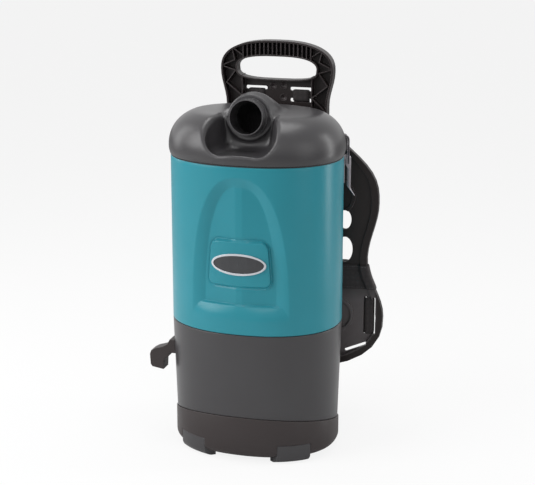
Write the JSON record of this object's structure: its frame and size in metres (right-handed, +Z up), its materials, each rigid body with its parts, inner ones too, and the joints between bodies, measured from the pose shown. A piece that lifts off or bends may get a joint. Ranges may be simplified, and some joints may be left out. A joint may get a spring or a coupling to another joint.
{
  "type": "backpack vacuum cleaner",
  "caption": "Upright oval canister vacuum on a moulded backpack frame: latched dome lid with swivel hose inlet, filter bag in the tank, motor and exhaust filter in the base, padded harness.",
  "frame": {"origin": "on the floor, under the canister's axis, with the machine standing upright on its feet", "axes": "+Z up along the canister; +Y towards the harness and the wearer's back, so the machine's outer face looks along -Y; +X to the right seen from that face"},
  "size_m": [0.352, 0.282, 0.635],
  "materials": {
    "teal_shell": "moulded ABS, satin gloss, teal",
    "charcoal_shell": "moulded ABS, satin gloss, charcoal grey",
    "dark_base": "moulded ABS, fine texture, brownish dark grey",
    "black_frame": "glass-filled nylon, satin black",
    "button_grey": "moulded acetal, grey",
    "bright_steel": "zinc-plated steel",
    "badge_field": "printed dark field, bare",
    "fan_alloy": "pressed aluminium",
    "copper": "copper windings and brass",
    "seal_rubber": "moulded rubber, matte",
    "filter_foam": "open-cell foam",
    "filter_paper": "filter paper and card",
    "filter_cloth": "white filter cloth and pleated media",
    "webbing": "woven polypropylene webbing, black",
    "pad_fabric": "padded mesh fabric, black"
  },
  "bodies": {
    "root": {"tank_shell": "teal_shell", "badge_rim": "bright_steel", "badge_plate": "badge_field", "lid_gasket": "seal_rubber", "cloth_filter": "filter_cloth", "filter_bag": "filter_paper", "bag_collar": "filter_paper", "motor_deck": "dark_base", "motor_filter": "filter_foam", "motor_gasket": "seal_rubber", "motor_fan_case": "bright_steel", "motor_frame": "charcoal_shell", "motor_bearings": "bright_steel", "brush_holders": "copper", "motor_cradle": "dark_base", "motor_housing": "charcoal_shell", "base_cap": "dark_base", "feet_front": "charcoal_shell", "feet_rear": "charcoal_shell", "base_screws": "bright_steel", "hepa_filter": "filter_cloth", "cord_hook": "dark_base", "power_inlet": "charcoal_shell", "switch_bezel": "black_frame", "exhaust_grille": "dark_base", "latch_bases": "bright_steel", "latch_pins": "bright_steel", "backplate": "black_frame", "carry_handle": "black_frame", "frame_spacers": "black_frame", "frame_screws": "bright_steel", "lumbar_band": "webbing", "lumbar_pad": "pad_fabric", "belt_wing_left": "pad_fabric", "belt_wing_right": "pad_fabric", "buckle_socket": "black_frame", "buckle_plug": "black_frame", "shoulder_pad_left": "pad_fabric", "shoulder_pad_right": "pad_fabric", "upper_webbing": "webbing", "lower_webbing": "webbing", "strap_adjusters": "black_frame"},
    "lid": {"lid_dome": "charcoal_shell", "lid_catches": "charcoal_shell", "inlet_elbow": "charcoal_shell", "swivel_seal": "seal_rubber"},
    "swivel": {"swivel_cuff": "charcoal_shell", "swivel_clip": "bright_steel"},
    "lever_left": {"latch_lever_left": "bright_steel"},
    "lever_right": {"latch_lever_right": "bright_steel"},
    "bail_left": {"latch_bail_left": "bright_steel"},
    "bail_right": {"latch_bail_right": "bright_steel"},
    "rotor": {"impeller": "fan_alloy", "motor_shaft": "bright_steel", "armature": "copper"},
    "rocker": {"switch_rocker": "seal_rubber"},
    "release_button": {"buckle_button": "button_grey"}
  },
  "joints": [
    {"name": "lid_lift", "type": "slide", "parent": "root", "child": "lid", "axis": [0, 0, 1], "range_m": [0, 0.04]},
    {"name": "inlet_swivel", "type": "hinge", "parent": "lid", "child": "swivel", "pos_m": [0, -0.059, 0.54], "axis": [0, -0.9877, 0.1564], "continuous": true},
    {"name": "lever_right", "type": "hinge", "parent": "root", "child": "lever_right", "pos_m": [0.13423, 0.043, 0.468], "axis": [0.3995, -0.9167, 0], "range_deg": [0, 110]},
    {"name": "lever_left", "type": "hinge", "parent": "root", "child": "lever_left", "pos_m": [-0.13423, 0.043, 0.468], "axis": [0.3995, 0.9167, 0], "range_deg": [0, 110]},
    {"name": "bail_right", "type": "hinge", "parent": "lever_right", "child": "bail_right", "pos_m": [0.13423, 0.043, 0.459], "axis": [0.3995, -0.9167, 0], "range_deg": [-170, 0]},
    {"name": "bail_left", "type": "hinge", "parent": "lever_left", "child": "bail_left", "pos_m": [-0.13423, 0.043, 0.459], "axis": [0.3995, 0.9167, 0], "range_deg": [-170, 0]},
    {"name": "rotor_spin", "type": "hinge", "parent": "root", "child": "rotor", "pos_m": [0, 0, 0.15], "axis": [0, 0, 1], "continuous": true},
    {"name": "switch_rock", "type": "hinge", "parent": "root", "child": "rocker", "pos_m": [-0.11341, 0.05678, 0.165], "axis": [-0.6097, -0.7926, 0], "range_deg": [0, 16]},
    {"name": "buckle_press", "type": "slide", "parent": "root", "child": "release_button", "axis": [0, -1, 0], "range_m": [0, 0.0015], "stiffness_N_per_m": 400}
  ],
  "couplings": [
    {"joint": "lever_right", "follows": "lid_lift", "rad_per_m": 47.99},
    {"joint": "lever_left", "follows": "lid_lift", "rad_per_m": 47.99},
    {"joint": "bail_right", "follows": "lid_lift", "rad_per_m": -74.17},
    {"joint": "bail_left", "follows": "lid_lift", "rad_per_m": -74.17}
  ]
}
